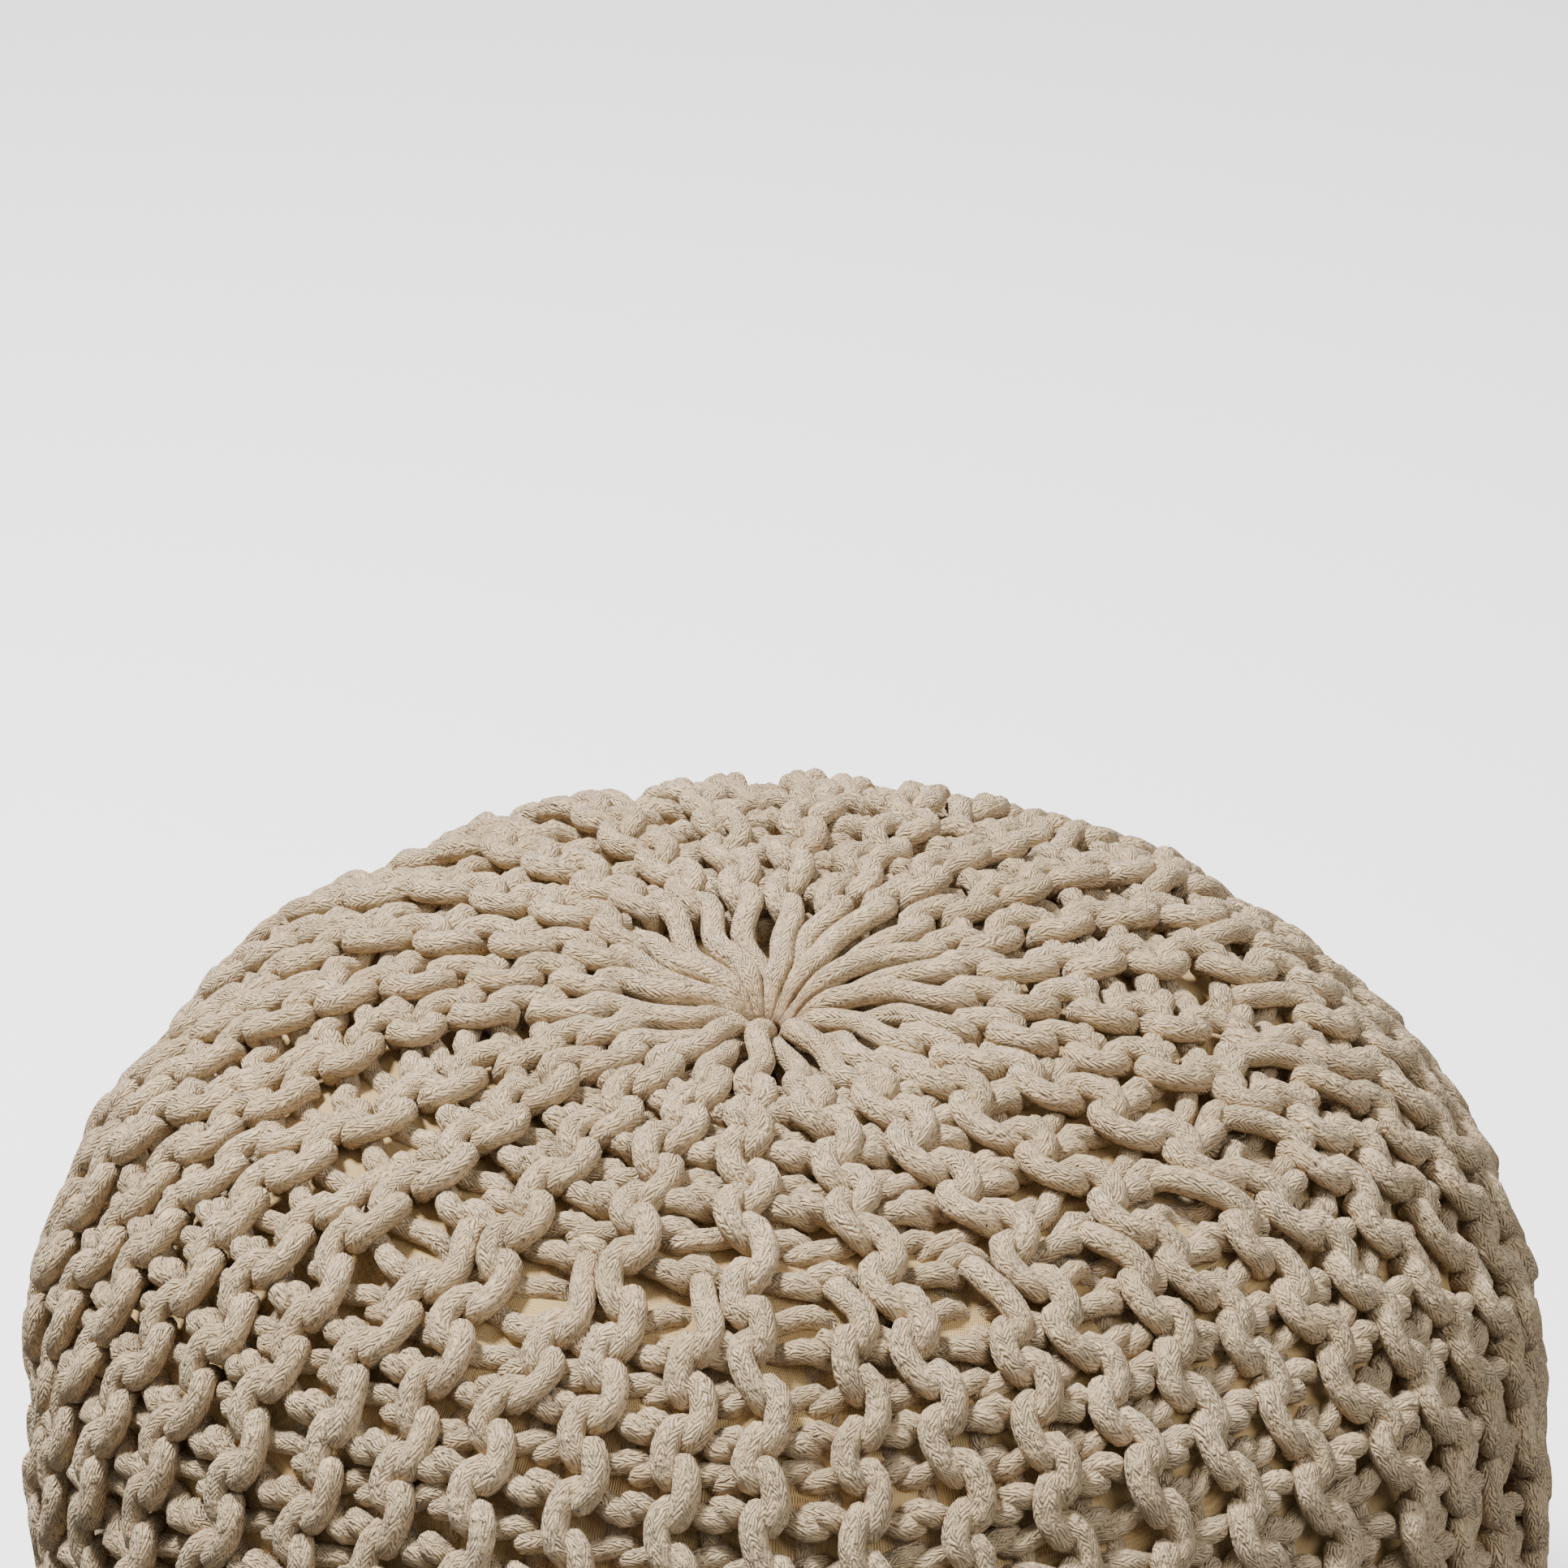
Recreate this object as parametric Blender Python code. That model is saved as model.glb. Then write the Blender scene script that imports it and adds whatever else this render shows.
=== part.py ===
"""A knitted floor pouf: a garter-stitch cover of thick cotton cord, drawn in at two hubs,
over a filled calico bag.

Metres, +Z up. The origin is on the floor, under the middle of the pouf.

The cover is knitted in rows that run from the top hub, over the side, to the bottom hub.
Every second row stands out as a ridge, which zigzags once in each stitch. Half of the
ridges are full rows. Between each two of them a short row widens the cover, and it stops
before it gets to a hub. The gaps between single loops are smaller than these faces.
"""

import math

import bmesh
import bpy
import numpy as np

COLLECTION = "knitted_pouf"

# Size of the filled pouf, measured over the ridges
WIDTH = 0.500
HEIGHT = 0.350
SIDE_POWER = 3.5          # how square the side view is, along the radius
CROWN_POWER = 2.3         # and along the height
SQUASH = 0.020            # the weight presses this much of the underside flat

# Hubs, where the ends of the full rows are drawn together
EYE_RADIUS = 0.004        # stays open in the middle of the gathers
GATHER_ROWS = (0.004, 0.012, 0.024, 0.042)  # from the middle, over the gathers
HOLLOW_DEPTH = 0.006      # the wide shallow hollow round a hub
HOLLOW_RADIUS = 0.055
DIMPLE_DEPTH = 0.006      # the narrow pit that the draw thread pulls in
DIMPLE_RADIUS = 0.014
HUB_OFFSET = -0.0045      # the top hub is gathered a little to one side, along X

# Knitting. Each ridge has three lines: two along its crest and one in the valley past it
FULL_RIDGES = 24
RIDGE_LINES = 3
STITCH = 0.0263           # along a ridge
FIRST_STITCH = 0.049      # from the middle of a hub to the first stitch of a full row
SKIPPED = 4               # stitches of a full row that a short row beside it leaves out
SHORT_ROW_START = FIRST_STITCH + SKIPPED * STITCH
ZIGZAG_END = 0.420        # this far from the top hub, past the widest part
LOWER_ROWS = 8            # plainer from there down to the foot
CREST_WIDTH = 0.010
CREST_SHARE = 0.36        # of the room that a ridge has, where that is less
RIDGE_DEPTH = 0.008       # from a ridge's crest to the valley beside it
GATHER_DEPTH = 0.004      # between two gathers in a hub
ZIGZAG = 0.0042           # a ridge leans to one side and then the other in each stitch
WANDER = 0.0020           # and it isn't knitted quite straight
WANDER_LENGTH = 0.070
TURN_AT_HUB = math.radians(-4.5)  # of the first full ridge, from the X axis
TWIST = math.radians(3.2)         # the ridges turn by this between the hub and the side
TWIST_FROM, TWIST_TO = 0.120, 0.210

# Bag
COVER_THICKNESS = 0.0145  # from a crest through to the bag
BAG_GAP = 0.0004          # between the cover and the bag
BAG_SIDES = 24
BAG_ROWS = 12

CORD_COLOUR = (0.56, 0.49, 0.40, 1.0)
CALICO_COLOUR = (0.72, 0.62, 0.44, 1.0)


def clear_scene():
    for thing in list(bpy.data.objects):
        bpy.data.objects.remove(thing, do_unlink=True)


def cloth_material(name, colour, roughness):
    material = bpy.data.materials.new(name)
    material.use_nodes = True
    shader = material.node_tree.nodes["Principled BSDF"]
    shader.inputs["Base Color"].default_value = colour
    shader.inputs["Roughness"].default_value = roughness
    shader.inputs["Metallic"].default_value = 0.0
    material.diffuse_color = colour
    return material


class Meridian:
    """The side view's curve, from the middle of the top to the middle of the underside."""

    def __init__(self, dimple):
        turn = np.linspace(math.pi / 2, -math.pi / 2, 4001)
        self.radius = WIDTH / 2 * np.abs(np.cos(turn)) ** (2 / SIDE_POWER)
        rise = np.abs(np.sin(turn)) ** (2 / CROWN_POWER)
        wide = np.exp(-((self.radius / HOLLOW_RADIUS) ** 2))
        pit = dimple * np.exp(-((self.radius / DIMPLE_RADIUS) ** 2))
        over = HEIGHT / 2 * (1 + rise) - HOLLOW_DEPTH * wide - pit
        under = HEIGHT / 2 - (HEIGHT / 2 + SQUASH) * rise
        under += (HOLLOW_DEPTH + SQUASH) * wide + pit
        self.height = np.where(turn > 0, over, np.maximum(under, 0.0))
        across, up = np.diff(self.radius), np.diff(self.height)
        self.along = np.concatenate([[0.0], np.cumsum(np.hypot(across, up))])
        self.length = self.along[-1]

    def at(self, along, depth=0.0):
        """Radius and height of the point this far along the curve and this deep under it."""
        step = 0.0005
        ends = np.clip([along - step, along + step], 0.0, self.length)
        r0, r1 = np.interp(ends, self.along, self.radius)
        z0, z1 = np.interp(ends, self.along, self.height)
        slope = math.hypot(r1 - r0, z1 - z0)
        radius = np.interp(along, self.along, self.radius) + depth * (z1 - z0) / slope
        height = np.interp(along, self.along, self.height) - depth * (r1 - r0) / slope
        return radius, height


def fade(value, start, end):
    """0 before start, 1 past end, and a smooth step between them."""
    share = min(max((value - start) / (end - start), 0.0), 1.0)
    return share * share * (3 - 2 * share)


def turned(radius, height, angle):
    """A point of the pouf from its radius, height and angle, with the top hub off centre."""
    pull = fade(height, HEIGHT * 0.6, HEIGHT * 0.9) * (1 - fade(radius, 0.0, WIDTH * 0.4))
    return (radius * math.cos(angle) + HUB_OFFSET * pull, radius * math.sin(angle), height)


def rolled_grid(mesh, columns, rows, place):
    """A flat grid rolled into a tube and welded along its seam. place(column, row) gives a
    point. Returns the tube's first and last rings."""
    made = bmesh.ops.create_grid(mesh, x_segments=columns, y_segments=rows, size=0.5)
    at = {}
    for vertex in made["verts"]:
        column = round((vertex.co.x + 0.5) * columns)
        row = round((vertex.co.y + 0.5) * rows)
        vertex.co = place(column % columns, row)
        at[column, row] = vertex
    seam = {at[columns, row]: at[0, row] for row in range(rows + 1)}
    bmesh.ops.weld_verts(mesh, targetmap=seam)
    first = [at[column, 0] for column in range(columns)]
    last = [at[column, rows] for column in range(columns)]
    return first, last


def loft(mesh, coarse, fine, shares):
    """Joins two rings. Each point of the coarse ring meets as many points of the fine ring as
    its share says, in turn."""
    start = 0
    for index, corner in enumerate(coarse):
        share = shares[index % len(shares)]
        own = fine[start : start + share]
        for one, other in zip(own, own[1:]):
            mesh.faces.new((corner, one, other))
        start += share
        following = coarse[(index + 1) % len(coarse)]
        mesh.faces.new((corner, own[-1], fine[start % len(fine)], following))


def ridge_point(curve, along, ridges, column, lean):
    """A point on one of a ridge's three lines. lean is -1, 0 or 1, to one side or the other."""
    from_hub = min(along, curve.length - along)
    stitched = fade(from_hub, GATHER_ROWS[-1], FIRST_STITCH)
    ridge, line = divmod(column, RIDGE_LINES)
    is_valley = line == 2
    depth = 0.0
    if is_valley:
        depth = GATHER_DEPTH + (RIDGE_DEPTH - GATHER_DEPTH) * stitched
        depth *= fade(from_hub, 0.0, GATHER_ROWS[2])
    radius, height = curve.at(along, depth)
    room = 2 * math.pi * radius / ridges
    half_crest = min(CREST_WIDTH, CREST_SHARE * room) / 2
    aside = (-half_crest, half_crest, room / 2)[line]
    zigzag = ZIGZAG * lean * stitched * min(1.0, room / STITCH)
    number = ridge * 2 * FULL_RIDGES / ridges
    wander = WANDER * math.sin(2.4 * number + along / WANDER_LENGTH)
    wander *= fade(from_hub, FIRST_STITCH, SHORT_ROW_START)
    if is_valley:
        zigzag *= 0.3
    twist = TURN_AT_HUB + TWIST * fade(along, TWIST_FROM, TWIST_TO)
    angle = twist + 2 * math.pi * ridge / ridges + (aside + zigzag + wander) / radius
    return turned(radius, height, angle)


def bag_point(curve, depth, column, row):
    along = EYE_RADIUS + (curve.length - 2 * EYE_RADIUS) * row / BAG_ROWS
    radius, height = curve.at(along, depth)
    return turned(max(radius, EYE_RADIUS), height, 2 * math.pi * column / BAG_SIDES)


def make_cover(curve, bag_curve):
    """The cover: ridged outside, smooth inside, and open at the eye of each hub."""
    mesh = bmesh.new()
    full_lines = FULL_RIDGES * RIDGE_LINES
    half = STITCH / 2
    stitches = tuple(FIRST_STITCH + half * i for i in range(2 * SKIPPED))
    top_rows = GATHER_ROWS + stitches
    under_rows = GATHER_ROWS + stitches[::2]
    upper_rows = round((ZIGZAG_END - SHORT_ROW_START) / half)
    side_rows = [SHORT_ROW_START + half * i for i in range(upper_rows)]
    foot = curve.length - SHORT_ROW_START
    side_rows += list(np.linspace(SHORT_ROW_START + half * upper_rows, foot, LOWER_ROWS + 1))

    def top_cap(column, row):
        lean = 1 if row % 2 else -1
        return ridge_point(curve, top_rows[row], FULL_RIDGES, column, lean)

    def side_wall(column, row):
        lean = 1 if row % 2 else -1
        return ridge_point(curve, side_rows[row], 2 * FULL_RIDGES, column, lean)

    def underside(column, row):
        return ridge_point(curve, curve.length - under_rows[row], FULL_RIDGES, column, 0)

    def inner_face(column, row):
        return bag_point(bag_curve, COVER_THICKNESS, column, row)

    top_eye, top_edge = rolled_grid(mesh, full_lines, len(top_rows) - 1, top_cap)
    side_top, side_foot = rolled_grid(mesh, 2 * full_lines, len(side_rows) - 1, side_wall)
    under_eye, under_edge = rolled_grid(mesh, full_lines, len(under_rows) - 1, underside)
    inner_top, inner_foot = rolled_grid(mesh, BAG_SIDES, BAG_ROWS, inner_face)

    short_row_shares = (1, 1, 4)  # a short row's ridge and valleys open out of a valley
    loft(mesh, top_edge, side_top, short_row_shares)
    loft(mesh, under_edge, side_foot, short_row_shares)
    eye_shares = (full_lines // BAG_SIDES,)
    loft(mesh, inner_top, top_eye, eye_shares)
    loft(mesh, inner_foot, under_eye, eye_shares)
    bmesh.ops.recalc_face_normals(mesh, faces=mesh.faces)
    return finished("knit_cover", mesh)


def make_bag(curve):
    """The filled bag, a closed form just clear of the inside of the cover."""
    mesh = bmesh.new()

    def calico(column, row):
        return bag_point(curve, COVER_THICKNESS + BAG_GAP, column, row)

    for ring in rolled_grid(mesh, BAG_SIDES, BAG_ROWS, calico):
        mesh.faces.new(ring)
    bmesh.ops.recalc_face_normals(mesh, faces=mesh.faces)
    return finished("inner_bag", mesh)


def finished(name, mesh):
    data = bpy.data.meshes.new(name)
    mesh.to_mesh(data)
    mesh.free()
    data.shade_smooth()
    return bpy.data.objects.new(name, data)


def main():
    clear_scene()
    group = bpy.data.collections.new(COLLECTION)
    bpy.context.scene.collection.children.link(group)
    bag_curve = Meridian(0.0)
    cover = make_cover(Meridian(DIMPLE_DEPTH), bag_curve)
    cover.data.materials.append(cloth_material("cotton_cord", CORD_COLOUR, 0.95))
    bag = make_bag(bag_curve)
    bag.data.materials.append(cloth_material("calico", CALICO_COLOUR, 0.9))
    for piece in (cover, bag):
        group.objects.link(piece)


main()
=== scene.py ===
# %% [markdown]
# # A knitted pouf, cord by cord
# The solids of the pouf come packed, with their sizes. This lesson gives them their looks:
# every loop of the cotton cord is laid, settled against its neighbours and skinned, and a
# calico bag shows through the gaps. Lengths are in metres and +Z is up.

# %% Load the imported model
import itertools
import math
import time

import bpy
import numpy as np
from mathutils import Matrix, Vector


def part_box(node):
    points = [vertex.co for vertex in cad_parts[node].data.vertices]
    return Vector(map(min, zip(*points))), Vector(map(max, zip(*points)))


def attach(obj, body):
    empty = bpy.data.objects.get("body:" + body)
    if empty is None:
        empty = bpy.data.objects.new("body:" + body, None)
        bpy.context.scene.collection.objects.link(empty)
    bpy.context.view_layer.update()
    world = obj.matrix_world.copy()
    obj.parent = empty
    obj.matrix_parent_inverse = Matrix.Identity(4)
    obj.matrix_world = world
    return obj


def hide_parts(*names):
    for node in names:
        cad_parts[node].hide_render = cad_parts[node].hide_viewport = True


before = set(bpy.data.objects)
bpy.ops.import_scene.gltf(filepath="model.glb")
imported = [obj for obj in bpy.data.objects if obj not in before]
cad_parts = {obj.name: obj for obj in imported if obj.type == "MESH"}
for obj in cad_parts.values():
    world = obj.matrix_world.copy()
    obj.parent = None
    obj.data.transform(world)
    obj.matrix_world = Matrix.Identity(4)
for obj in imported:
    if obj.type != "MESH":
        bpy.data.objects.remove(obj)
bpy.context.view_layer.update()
cover_low, cover_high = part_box("knit_cover")
print("nodes:", sorted(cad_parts), "box:", cover_low[:], cover_high[:])

# %% [markdown]
# ## Camera
# The photograph looks down on the pouf by 28 degrees and cuts off its lower half, so the
# camera stands well back with a long lens and the pouf fills the lower half of the frame.

# %% Camera
LOOK_DOWN = math.radians(28.0)
CAMERA_DISTANCE = 1.35
FOCAL_LENGTH = 101.0      # in millimetres, like the sensor's width
SENSOR_WIDTH = 36.0
AIM = Vector((-0.0007, 0.0, 0.4156))

camera_data = bpy.data.cameras.new("camera")
camera_data.lens = FOCAL_LENGTH
camera_data.sensor_width = SENSOR_WIDTH
camera = bpy.data.objects.new("camera", camera_data)
back_off = Vector((0.0, -math.cos(LOOK_DOWN), math.sin(LOOK_DOWN))) * CAMERA_DISTANCE
camera.location = AIM + back_off
camera.rotation_euler = (math.pi / 2 - LOOK_DOWN, 0.0, 0.0)
bpy.context.scene.collection.objects.link(camera)
bpy.context.scene.camera = camera
print("camera at", [round(value, 3) for value in camera.location])

# %% [markdown]
# ## The form under the knitting
# A stuffed pouf is a squashed ball. Its side view is one curve, a superellipse, with a
# hollow at each hub and a flat underside. Inflating a cloth ball would give a like form, but
# one that can't be set to the sizes of the solids. A place on the knitting is then three
# numbers: how far along that curve from the top hub, the angle around, and how deep under
# the outermost cord. Everything below is laid out in those three numbers, because a
# knitter's rows run along the curve, and turned into points at the end.

# %% The side view's curve
WIDTH = cover_high.x - cover_low.x
HEIGHT = 0.350
SIDE_POWER = 3.5          # how square the side view is, along the radius
CROWN_POWER = 2.3         # and along the height
SQUASH = 0.020            # the weight presses this much of the underside flat
HOLLOW_DEPTH = 0.006      # the wide shallow hollow round a hub
HOLLOW_RADIUS = 0.055
DIMPLE_DEPTH = 0.006      # the narrow pit that the draw thread pulls in
DIMPLE_RADIUS = 0.014
EYE_RADIUS = 0.004        # stays open in the middle of the gathers
HUB_OFFSET = -0.0045      # the top hub is gathered a little to one side, along X
OFFSET_HEIGHTS = (0.6, 0.9)  # that offset grows between these shares of the height
OFFSET_REACH = 0.4        # and is gone at this share of the width from the middle
CURVE_POINTS = 4001

turn = np.linspace(math.pi / 2, -math.pi / 2, CURVE_POINTS)
curve_radius = WIDTH / 2 * np.abs(np.cos(turn)) ** (2 / SIDE_POWER)
rise = np.abs(np.sin(turn)) ** (2 / CROWN_POWER)
wide = np.exp(-((curve_radius / HOLLOW_RADIUS) ** 2))
pit = DIMPLE_DEPTH * np.exp(-((curve_radius / DIMPLE_RADIUS) ** 2))
over = HEIGHT / 2 * (1 + rise) - HOLLOW_DEPTH * wide - pit
under = HEIGHT / 2 - (HEIGHT / 2 + SQUASH) * rise + (HOLLOW_DEPTH + SQUASH) * wide + pit
curve_height = np.where(turn > 0, over, np.maximum(under, 0.0))
curve_steps = np.hypot(np.diff(curve_radius), np.diff(curve_height))
curve_along = np.concatenate([[0.0], np.cumsum(curve_steps)])
LENGTH = curve_along[-1]
print(f"the curve is {LENGTH:.3f} m long")


# %% From knitting to points
def fade(value, start, end):
    """0 before start, 1 past end, and a smooth step between them."""
    share = np.clip((value - start) / (end - start), 0.0, 1.0)
    return share * share * (3 - 2 * share)


def blend(first, second, share):
    return first + (second - first) * share


def from_hub(along):
    """How far it is to the nearer hub."""
    return np.minimum(along, LENGTH - along)


def radius_at(along):
    return np.interp(along, curve_along, curve_radius)


def height_at(along):
    return np.interp(along, curve_along, curve_height)


def on_pouf(along, angle, depth):
    """Points from their place along the curve, their angle and their depth."""
    step = 0.0005
    before = np.clip(along - step, 0.0, LENGTH)
    after = np.clip(along + step, 0.0, LENGTH)
    d_radius = radius_at(after) - radius_at(before)
    d_height = height_at(after) - height_at(before)
    slope = np.hypot(d_radius, d_height)
    radius = radius_at(along) + depth * d_height / slope
    height = height_at(along) - depth * d_radius / slope
    low, high = OFFSET_HEIGHTS
    pull = fade(height, HEIGHT * low, HEIGHT * high) * (1 - fade(radius, 0.0, WIDTH * OFFSET_REACH))
    x = radius * np.cos(angle) + HUB_OFFSET * pull
    return np.stack([x, radius * np.sin(angle), height], -1)


# %% [markdown]
# ## Garter stitch, row by row
# Garter stitch is one cord that goes back and forth. In each row it makes a chain of loops:
# a head, two legs, and the bend that links it to the next loop, the sinker. Here a row runs
# from hub to hub, and its loops lie across, in the direction around the pouf. Odd rows
# bring their heads to the front and even rows bring their sinkers to the front, at the
# same place, so each pair of rows makes one raised zigzag ridge. Half of the ridges are
# full rows. Between each two of them lies a short one, which starts further out.
#
# Curves could be drawn by hand for a handful of loops. There are some 1,900 of them, so
# each row is one formula: a cosine takes the cord across, from its back bends to its front
# bends, and a doubled sine makes each loop wider than its neck.

# %% The knitter's sizes
FULL_RIDGES = 24
CORD_RADIUS = 0.0041      # of tubular cotton cord sold as 8 mm
FIRST_STITCH = 0.049      # from the middle of a hub to the first stitch of a full row
SHORT_ROW_START = 0.154   # from there to the first stitch of a short row, as measured
STITCH_MEASURED = 0.0265  # along a ridge
STITCHES = round((LENGTH - 2 * FIRST_STITCH) / STITCH_MEASURED)
STITCH = (LENGTH - 2 * FIRST_STITCH) / STITCHES
SKIPPED = round((SHORT_ROW_START - FIRST_STITCH) / STITCH)
SHORT_START = FIRST_STITCH + SKIPPED * STITCH  # at a whole stitch of the full rows
# Depth of the cord's middle on its way from a back bend to a front bend, by share of a stitch
LEG_PLACES = (0.0, 0.07, 0.185, 0.290, 0.39, 0.5)
LEG_DEPTHS = (0.0155, 0.0155, 0.0085, 0.0120, 0.0041, 0.0041)
LOOP_BULGE = 0.19         # a loop is wider than its neck by twice this share of a stitch
LEG_STAGGER = 0.0018      # of two legs side by side, one lies deeper
STAGGER_ENDS = (0.20, 0.29)  # between these shares of a stitch
HOOK_MOST = 0.0046        # how far bends reach past the middle of their ridge
HOOK_MORE = 0.0014        # and so much more where the full rows have the room to themselves
HOOK_FADE = 0.020         # to either side of where that ends
HOOK_SHARE = 0.235        # of the room that a ridge has, where that is less
SAMPLES = 48              # of each stitch
print(f"{STITCHES} stitches of {STITCH * 1000:.1f} mm in a full row, "
      f"{STITCHES - 2 * SKIPPED} in a short one")


# %% Where a ridge and the valleys beside it run
# A lone valley lies half way between two full ridges. A short row opens it into two. Shares
# that the three lines move by, and where, from the start of the short row
HALF_WAY = 0.5
LEFT_MOVE, LEFT_MOVES = 0.25, (-0.005, 0.065)
RIGHT_MOVE, RIGHT_MOVES = 0.30, (-0.010, 0.012)
RIGHT_BACK, RIGHT_COMES_BACK = 0.05, (0.015, 0.065)
SHORT_FIRST = 0.66        # a short row starts here and moves to half way
SHORT_MOVE, SHORT_MOVES = 0.16, (0.005, 0.065)


def past_start(along, span):
    """0 before a span that is counted from the start of the short rows, and 1 past it."""
    return fade(from_hub(along), SHORT_START + span[0], SHORT_START + span[1])


def lanes(along, ridge):
    """Left valley, ridge and right valley, as shares of the room between two full ridges."""
    open_left = HALF_WAY - LEFT_MOVE * past_start(along, LEFT_MOVES)
    open_right = HALF_WAY + RIGHT_MOVE * past_start(along, RIGHT_MOVES)
    open_right = open_right - RIGHT_BACK * past_start(along, RIGHT_COMES_BACK)
    whole, is_short = divmod(ridge, 2)
    if is_short:
        middle = SHORT_FIRST - SHORT_MOVE * past_start(along, SHORT_MOVES)
        return whole + open_left, whole + middle, whole + open_right
    return whole - 1 + open_right, whole + 0.0 * along, whole + open_left


# %% How the cord bends in a row
def hook(along, ridge):
    """How far heads and sinkers reach past the middle of their ridge or valley."""
    left, _, right = lanes(along, ridge)
    room = (right - left) * 2 * math.pi / FULL_RIDGES * radius_at(along)
    outer = fade(from_hub(along), SHORT_ROW_START - HOOK_FADE, SHORT_ROW_START + HOOK_FADE)
    most = HOOK_MOST + HOOK_MORE * (1 - outer)
    return np.minimum(most, HOOK_SHARE * room)


def leg_depth(place):
    """Depth at a share of a stitch from a back bend, level at each of the leg's places."""
    depth = np.full(np.shape(place), LEG_DEPTHS[0])
    for start, end, low, high in zip(LEG_PLACES, LEG_PLACES[1:], LEG_DEPTHS, LEG_DEPTHS[1:]):
        depth = depth + (high - low) * fade(place, start, end)
    return depth


def row(ridge, is_second, turns):
    """Places of one row's cord. turns is 0 at a sinker and grows by one for each stitch."""
    skipped = SKIPPED if ridge % 2 else 0
    angle = 2 * math.pi * turns
    bulge = LOOP_BULGE * np.sin(2 * angle)
    along = FIRST_STITCH + STITCH * (skipped + turns + bulge)
    left, middle, right = lanes(along, ridge)
    reach = hook(along, ridge)
    across = (1 - np.cos(angle)) / 2
    aside = blend(-reach, reach, across)
    place = np.abs((turns + (0.5 if is_second else 0.0) + 0.5) % 1 - 0.5)
    depth = leg_depth(place) + LEG_STAGGER * np.sin(angle) * (1 - fade(place, *STAGGER_ENDS))
    if is_second:
        return along, blend(middle, right, across), aside, depth
    return along, blend(left, middle, across), aside, depth


# %% [markdown]
# ## Hubs
# At a hub the cord leaves one row of a ridge, is drawn into the middle by a thread and comes
# back as the ridge's other row. On top it shows as a plain spoke. Its way back lies hidden
# underneath. A hub has room for half of its 24 spokes side by side, so every second one lies
# deeper. A formula can't do all this, but a few listed points in the same numbers can,
# with a smooth curve through them. A short row turns in the same way, under its neighbours.

# %% A smooth curve through a few points
def smooth_line(points, count):
    """A smooth curve through points, by Catmull-Rom, with count places."""
    points = np.array(points, float)
    padded = np.concatenate([[2 * points[0] - points[1]], points, [2 * points[-1] - points[-2]]])
    place = np.linspace(0, len(points) - 1, count)
    index = np.minimum(place.astype(int), len(points) - 2)
    t = (place - index)[:, None]
    p0, p1, p2, p3 = (padded[index + step] for step in range(4))
    return 0.5 * (2 * p1 + (p2 - p0) * t + (2 * p0 - 5 * p1 + 4 * p2 - p3) * t**2
                  + (3 * p1 - p0 - 3 * p2 + p3) * t**3)


# %% Turns at a hub and at the start of a short row
SPOKE_SWAY = (0.2, 0.8)   # how much a spoke wavers
SPOKE_SINK = 0.0050       # every second spoke lies deeper by this
SPOKE_UNEVEN = (-0.0005, 0.0015)
HUB_TURN_POINTS = 160
SHORT_TURN_POINTS = 48


def hub_turn(first, second, lane, dice):
    """From a first row's end, back underneath to the hub and out over it to the second row.
    Places are along, lane, aside and depth. dice sets how one spoke differs from the next."""
    sway = dice.uniform(*SPOKE_SWAY)
    sink = (SPOKE_SINK if lane % 2 else 0.0) + dice.uniform(*SPOKE_UNEVEN)
    points = [
        first,
        (0.044, blend(first[1], lane, 0.5), -0.001, 0.018),
        (0.024, lane, 0.0, 0.016),
        (0.009, lane, 0.0, 0.017),
        (0.0035, lane, 0.0, 0.014),
        (0.0045, lane, 0.0, 0.0120),
        (0.010, lane, 0.0, 0.0070 + sink / 2),
        (0.0235, lane, -0.0020 * sway, 0.0046 + sink),
        (0.0365, lane, 0.0032 * sway, 0.0044 + sink / 2),
        second,
    ]
    return smooth_line(points, HUB_TURN_POINTS)


def short_turn(first, second):
    """A short row's turn. Its first leg runs on towards the hub and dives under the rungs."""
    lane = first[1]
    points = [
        first,
        (SHORT_START - 0.004, lane, first[2] - 0.0015, 0.0070),
        (SHORT_START - 0.010, lane, first[2] - 0.0020, 0.0135),
        (SHORT_START - 0.006, blend(lane, second[1], 0.4), 0.0, 0.0170),
        (SHORT_START + 0.004, blend(lane, second[1], 0.8), 0.0, 0.0170),
        second,
    ]
    return smooth_line(points, SHORT_TURN_POINTS)


# %% Every ridge as one closed cord
TURN_AT_HUB = math.radians(-4.5)  # of the first full ridge, from the X axis
TWIST = math.radians(3.2)         # the ridges turn by this between the hub and the side
TWIST_FROM, TWIST_TO = 0.12, 0.21
SHORT_TRIMS = (0.38, 0.5)         # of a stitch, off each end of a short ridge's two rows
FIRST_LATE = 0.007                # a full row's first stitches are up to this much out
LATE_RISES, LATE_FALLS = (0.018, 0.05), (0.06, 0.15)


def shifted(along, to_hub, late):
    """Places along, moved by up to late around a full row's first stitches."""
    return along + late * fade(to_hub, *LATE_RISES) * (1 - fade(to_hub, *LATE_FALLS))


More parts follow.
